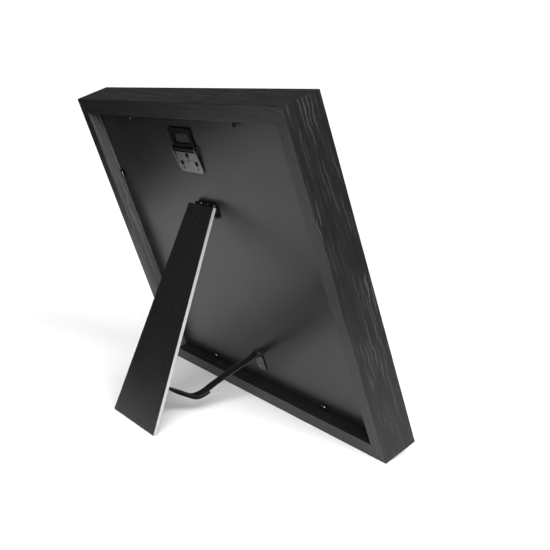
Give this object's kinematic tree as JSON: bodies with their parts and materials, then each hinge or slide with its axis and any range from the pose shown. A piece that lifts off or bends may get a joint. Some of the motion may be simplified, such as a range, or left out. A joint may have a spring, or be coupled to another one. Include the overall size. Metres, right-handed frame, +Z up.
{
  "type": "photo frame",
  "caption": "Easel-back photo frame: black mitred wooden rails, glass, mat, backing board held by bendable tabs, folding hinged leg with ribbon stay, and a wall hanging ring.",
  "frame": {"origin": "centre of the bottom of the bounding box, on the surface that the frame stands on with its leg open", "axes": "+X to the right across the picture as seen from the front, -Y out of the picture side, +Y towards the leg, +Z up"},
  "size_m": [0.327, 0.158, 0.2707],
  "materials": {
    "black_wood": "near-black stain with a satin lacquer over open grain",
    "black_board": "thin fibreboard faced with matt black paper",
    "leg_board": "fibreboard faced with matt black paper, raw grey edges",
    "black_steel": "black enamelled sheet steel",
    "grey_steel": "zinc-plated steel",
    "glass": "clear float glass",
    "white_mat": "uncoated white mat board with a bevelled window",
    "print_paper": "satin printing paper",
    "black_ribbon": "woven grosgrain ribbon"
  },
  "bodies": {
    "frame": {"rail_top": "black_wood", "rail_right": "black_wood", "rail_bottom": "black_wood", "rail_left": "black_wood", "v_nail_top_right_1": "grey_steel", "v_nail_top_right_2": "grey_steel", "v_nail_bottom_right_1": "grey_steel", "v_nail_bottom_right_2": "grey_steel", "v_nail_bottom_left_1": "grey_steel", "v_nail_bottom_left_2": "grey_steel", "v_nail_top_left_1": "grey_steel", "v_nail_top_left_2": "grey_steel", "glass_pane": "glass", "mat_board": "white_mat", "art_print": "print_paper", "backing_board": "black_board", "hinge_board_leaf": "black_steel", "hinge_pin": "grey_steel", "hinge_board_rivet_right": "black_steel", "hinge_board_rivet_left": "black_steel", "ribbon_anchor_rivet": "grey_steel", "ribbon_anchor_plate": "grey_steel", "ribbon": "black_ribbon", "hanger_plate": "grey_steel", "hanger_pin": "black_steel", "hanger_eyelet_top": "black_steel", "hanger_eyelet_right": "black_steel", "hanger_eyelet_left": "black_steel"},
    "leg": {"leg_board": "leg_board", "hinge_leg_leaf": "black_steel", "hinge_leg_rivet_right": "black_steel", "hinge_leg_rivet_left": "black_steel", "ribbon_leg_rivet": "grey_steel", "ribbon_leg_plate": "grey_steel"},
    "hanger_ring": {"hanger_ring": "black_steel"},
    "flex_tab_top_right": {"flex_tab_top_right": "black_steel"},
    "flex_tab_top_left": {"flex_tab_top_left": "black_steel"},
    "flex_tab_right_upper": {"flex_tab_right_upper": "black_steel"},
    "flex_tab_right_lower": {"flex_tab_right_lower": "black_steel"},
    "flex_tab_bottom_right": {"flex_tab_bottom_right": "black_steel"},
    "flex_tab_bottom_left": {"flex_tab_bottom_left": "black_steel"},
    "flex_tab_left_upper": {"flex_tab_left_upper": "black_steel"},
    "flex_tab_left_lower": {"flex_tab_left_lower": "black_steel"}
  },
  "joints": [
    {"name": "leg_fold", "type": "hinge", "parent": "frame", "child": "leg", "pos_m": [0, 0.01881, 0.178], "axis": [-1, 0, 0], "range_deg": [0, 38.7], "deforming": ["ribbon"]},
    {"name": "hanger_ring_swing", "type": "hinge", "parent": "frame", "child": "hanger_ring", "pos_m": [0.0045, 0.03865, 0.22258], "axis": [-1, 0, 0], "range_deg": [0, 165]},
    {"name": "flex_tab_top_right_bend", "type": "hinge", "parent": "frame", "child": "flex_tab_top_right", "pos_m": [0.08505, 0.04909, 0.24956], "axis": [1, 0, 0], "range_deg": [-18, 65]},
    {"name": "flex_tab_top_left_bend", "type": "hinge", "parent": "frame", "child": "flex_tab_top_left", "pos_m": [-0.08505, 0.04909, 0.24956], "axis": [1, 0, 0], "range_deg": [-18, 65]},
    {"name": "flex_tab_right_upper_bend", "type": "hinge", "parent": "frame", "child": "flex_tab_right_upper", "pos_m": [0.1499, 0.02341, 0.19138], "axis": [0, -0.4038, -0.9149], "range_deg": [-18, 65]},
    {"name": "flex_tab_right_lower_bend", "type": "hinge", "parent": "frame", "child": "flex_tab_right_lower", "pos_m": [0.1499, -0.02811, 0.07464], "axis": [0, -0.4038, -0.9149], "range_deg": [-18, 65]},
    {"name": "flex_tab_bottom_right_bend", "type": "hinge", "parent": "frame", "child": "flex_tab_bottom_right", "pos_m": [0.08505, -0.05379, 0.01646], "axis": [-1, 0, 0], "range_deg": [-18, 65]},
    {"name": "flex_tab_bottom_left_bend", "type": "hinge", "parent": "frame", "child": "flex_tab_bottom_left", "pos_m": [-0.08505, -0.05379, 0.01646], "axis": [-1, 0, 0], "range_deg": [-18, 65]},
    {"name": "flex_tab_left_upper_bend", "type": "hinge", "parent": "frame", "child": "flex_tab_left_upper", "pos_m": [-0.1499, 0.02341, 0.19138], "axis": [0, 0.4038, 0.9149], "range_deg": [-18, 65]},
    {"name": "flex_tab_left_lower_bend", "type": "hinge", "parent": "frame", "child": "flex_tab_left_lower", "pos_m": [-0.1499, -0.02811, 0.07464], "axis": [0, 0.4038, 0.9149], "range_deg": [-18, 65]}
  ]
}
